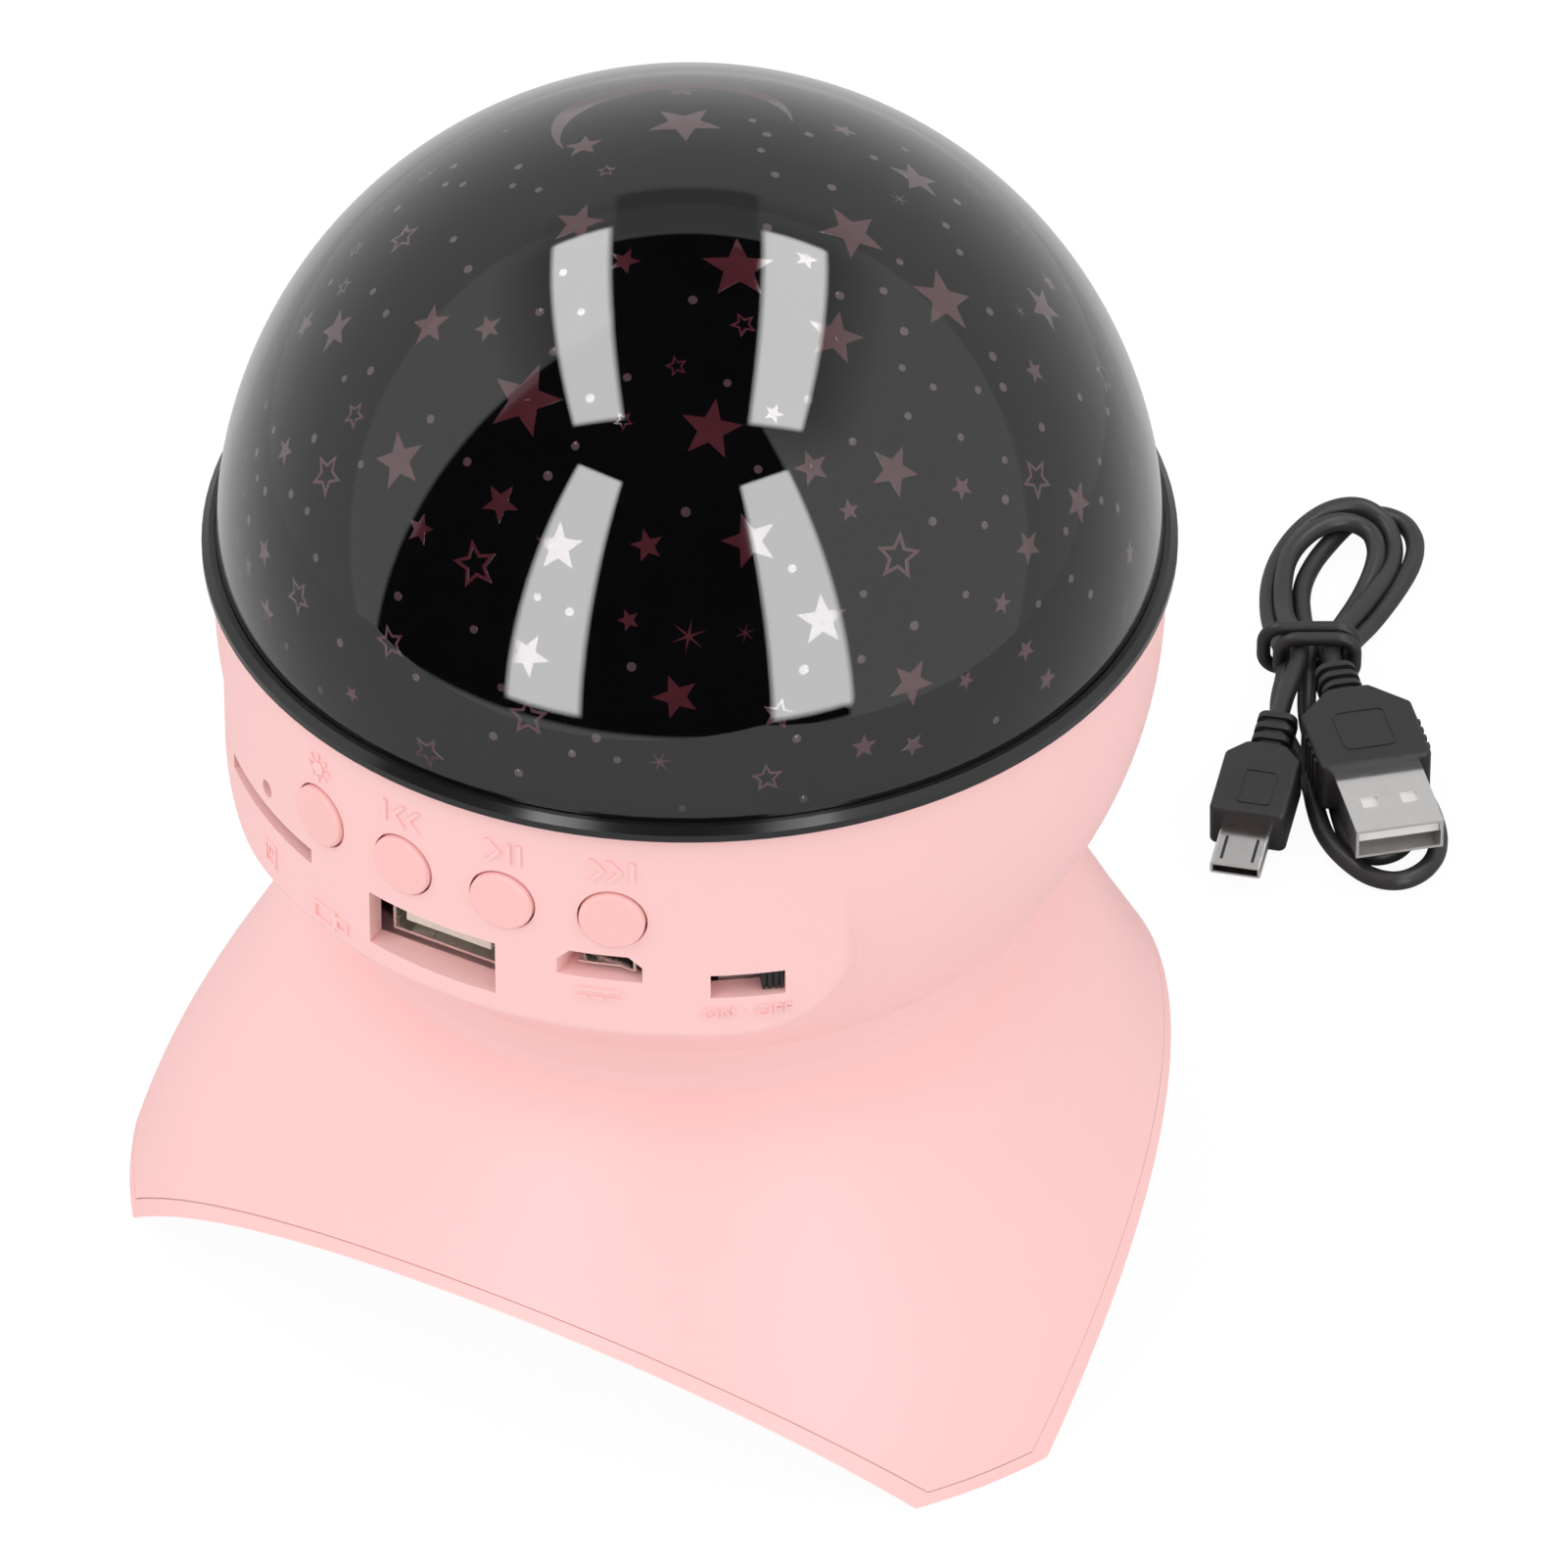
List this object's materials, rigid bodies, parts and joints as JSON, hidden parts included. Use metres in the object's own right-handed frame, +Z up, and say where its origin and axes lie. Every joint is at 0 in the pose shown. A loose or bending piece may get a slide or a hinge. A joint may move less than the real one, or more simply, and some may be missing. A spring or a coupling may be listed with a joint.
{
  "type": "star night light projector",
  "caption": "Domed star night light with a turning printed film, a curved control panel, a loudspeaker in a flared three-footed base and a loose tied charging cable.",
  "frame": {"origin": "on the standing plane, under the dome's axis", "axes": "+Z up along the dome axis, -Y out of the control panel, +X to the right of someone who faces the panel"},
  "size_m": [0.1364, 0.2292, 0.1639],
  "materials": {
    "pink_plastic": "fine matt texture",
    "clear_dome": "clear, polished",
    "black_film": "black print with clear stars",
    "gloss_black": "polished",
    "white_plastic": "natural moulded",
    "washer_plastic": "low friction",
    "steel": "zinc plated",
    "zinc_plate": "stamped, plated",
    "plug_metal": "nickel plated",
    "green_board": "solder mask",
    "black_component": "moulded",
    "clear_led": "clear lens",
    "cell_wrap": "shrink sleeve",
    "cable_black": "soft satin"
  },
  "bodies": {
    "housing": {"bowl_shell": "pink_plastic", "bowl_screws": "steel", "base_shell": "pink_plastic", "bottom_cover": "pink_plastic", "cover_screws": "steel", "speaker_frame": "steel", "speaker_cone": "black_component", "speaker_magnet": "steel", "speaker_screws": "steel", "top_deck": "white_plastic", "deck_screws": "steel", "thrust_washer": "washer_plastic", "hub_clip": "steel", "motor_can": "steel", "gearbox_case": "zinc_plate", "motor_screws": "steel", "lamp_post": "white_plastic", "lamp_screws": "steel", "lamp_board": "green_board", "lamp_leds": "clear_led", "key_board": "green_board", "tact_switches": "black_component", "main_board": "green_board", "data_port_shell": "zinc_plate", "data_port_tongue": "white_plastic", "charge_port_shell": "zinc_plate", "card_reader": "zinc_plate", "power_switch_body": "zinc_plate", "board_chips": "black_component", "capacitors": "black_component", "microphone": "black_component", "board_screws": "steel", "battery_cell": "cell_wrap", "battery_holder": "white_plastic", "charging_cable_hank": "cable_black", "small_plug_lead": "cable_black", "small_plug_body": "cable_black", "small_plug_shell": "plug_metal", "wide_plug_lead": "cable_black", "wide_plug_body": "cable_black", "wide_plug_shell": "plug_metal", "wide_plug_insert": "white_plastic", "cable_tie": "cable_black"},
    "turntable": {"turntable": "gloss_black", "turntable_gear": "white_plastic", "gear_screws": "steel", "star_film": "black_film"},
    "dome": {"dome_cover": "clear_dome"},
    "drive_pinion": {"drive_pinion": "white_plastic", "motor_shaft": "steel"},
    "led_button": {"button_led": "pink_plastic"},
    "previous_button": {"button_previous": "pink_plastic"},
    "play_button": {"button_play": "pink_plastic"},
    "next_button": {"button_next": "pink_plastic"},
    "switch_knob": {"power_switch_knob": "black_component"}
  },
  "joints": [
    {"name": "turntable_spin", "type": "hinge", "parent": "housing", "child": "turntable", "pos_m": [0, 0, 0.1], "axis": [0, 0, 1], "continuous": true},
    {"name": "pinion_spin", "type": "hinge", "parent": "housing", "child": "drive_pinion", "pos_m": [0, 0.035, 0.1], "axis": [0, 0, 1], "continuous": true},
    {"name": "dome_lift", "type": "slide", "parent": "turntable", "child": "dome", "axis": [0, 0, 1], "range_m": [0, 0.07]},
    {"name": "led_button_press", "type": "slide", "parent": "housing", "child": "led_button", "axis": [0.3486, 0.9373, 0], "range_m": [0, 0.0005], "stiffness_N_per_m": 1500, "springref_m": -0.0003},
    {"name": "previous_button_press", "type": "slide", "parent": "housing", "child": "previous_button", "axis": [0.1184, 0.993, 0], "range_m": [0, 0.0005], "stiffness_N_per_m": 1500, "springref_m": -0.0003},
    {"name": "play_button_press", "type": "slide", "parent": "housing", "child": "play_button", "axis": [-0.1184, 0.993, 0], "range_m": [0, 0.0005], "stiffness_N_per_m": 1500, "springref_m": -0.0003},
    {"name": "next_button_press", "type": "slide", "parent": "housing", "child": "next_button", "axis": [-0.3486, 0.9373, 0], "range_m": [0, 0.0005], "stiffness_N_per_m": 1500, "springref_m": -0.0003},
    {"name": "power_switch_slide", "type": "slide", "parent": "housing", "child": "switch_knob", "axis": [-0.7919, -0.6107, 0], "range_m": [0, 0.004]}
  ],
  "couplings": [
    {"joint": "pinion_spin", "follows": "turntable_spin", "ratio": -4}
  ]
}
